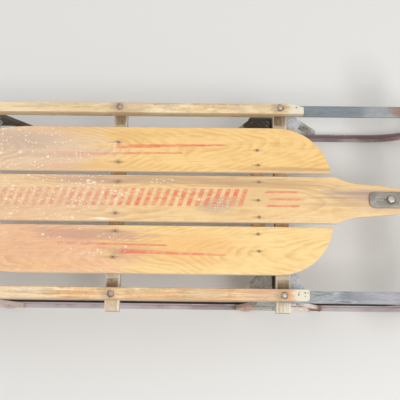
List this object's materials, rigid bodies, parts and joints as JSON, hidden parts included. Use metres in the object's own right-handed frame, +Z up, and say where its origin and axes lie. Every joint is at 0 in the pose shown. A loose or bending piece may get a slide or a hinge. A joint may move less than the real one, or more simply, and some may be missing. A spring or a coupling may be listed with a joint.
{
  "type": "steerable wooden sled",
  "caption": "Wooden steerable sled: three deck slats and side rails on cross benches, pressed steel knees, flexing steel runners and a steering bar linked by side bars and a bow.",
  "frame": {"origin": "ground level, at the centre of the sled's overall length and width", "axes": "+X forward, towards the steering bar; +Y to the rider's left; +Z up"},
  "size_m": [1.022, 0.508, 0.1723],
  "materials": {
    "deck_wood": "varnished, worn",
    "rail_wood": "varnished, dirty",
    "bench_wood": "weathered",
    "handle_wood": "varnished, worn",
    "knee_steel": "grey paint, dusty",
    "runner_red": "faded red paint",
    "bar_grey": "grey paint, smudged",
    "plate_steel": "dull plate",
    "fastener_steel": "tarnished"
  },
  "bodies": {
    "frame": {"centre_board": "deck_wood", "side_board_left": "deck_wood", "side_board_right": "deck_wood", "rail_left": "rail_wood", "rail_right": "rail_wood", "bench_rear": "bench_wood", "bench_middle": "bench_wood", "bench_front": "bench_wood", "cleat": "bench_wood", "knee_rear_left": "knee_steel", "knee_rear_right": "knee_steel", "knee_front_left": "knee_steel", "knee_front_right": "knee_steel", "runner_left": "runner_red", "runner_right": "runner_red", "nose_bolt": "fastener_steel", "rail_bolt_left": "fastener_steel", "rail_bolt_right": "fastener_steel"},
    "steering_lever": {"steering_bar": "handle_wood", "steering_plate": "plate_steel", "tongue_pin": "fastener_steel"},
    "side_bar_left": {"side_bar_left": "bar_grey", "tip_pin_left": "fastener_steel"},
    "side_bar_right": {"side_bar_right": "bar_grey", "tip_pin_right": "fastener_steel"},
    "bumper": {"bumper": "bar_grey"},
    "runner_front_left": {"runner_front_left": "runner_red"},
    "runner_front_right": {"runner_front_right": "runner_red"}
  },
  "joints": [
    {"name": "steer", "type": "hinge", "parent": "frame", "child": "steering_lever", "pos_m": [0.3655, 0, 0.152], "axis": [0, 0, 1], "range_deg": [-8, 8], "stiffness_Nm_per_rad": 3},
    {"name": "side_bar_left_pivot", "type": "hinge", "parent": "frame", "child": "side_bar_left", "pos_m": [0.1645, 0.18, 0.1416], "axis": [0, 0, 1], "range_deg": [-3.52, 3.52]},
    {"name": "side_bar_right_pivot", "type": "hinge", "parent": "frame", "child": "side_bar_right", "pos_m": [0.1645, -0.18, 0.1416], "axis": [0, 0, 1], "range_deg": [-3.52, 3.52]},
    {"name": "bumper_pivot", "type": "hinge", "parent": "side_bar_left", "child": "bumper", "pos_m": [0.473, 0.18, 0.1467], "axis": [0, 0, 1], "range_deg": [-3.52, 3.52]},
    {"name": "runner_left_flex", "type": "hinge", "parent": "frame", "child": "runner_front_left", "pos_m": [0.279, 0.18, 0.002], "axis": [0, 0, 1], "range_deg": [-5.6, 5.6]},
    {"name": "runner_right_flex", "type": "hinge", "parent": "frame", "child": "runner_front_right", "pos_m": [0.279, -0.18, 0.002], "axis": [0, 0, 1], "range_deg": [-5.6, 5.6]}
  ],
  "couplings": [
    {"joint": "side_bar_left_pivot", "follows": "steer", "ratio": 0.43922},
    {"joint": "side_bar_right_pivot", "follows": "steer", "ratio": 0.43922},
    {"joint": "bumper_pivot", "follows": "steer", "ratio": -0.43922},
    {"joint": "runner_left_flex", "follows": "steer", "ratio": 0.69845},
    {"joint": "runner_right_flex", "follows": "steer", "ratio": 0.69845}
  ]
}
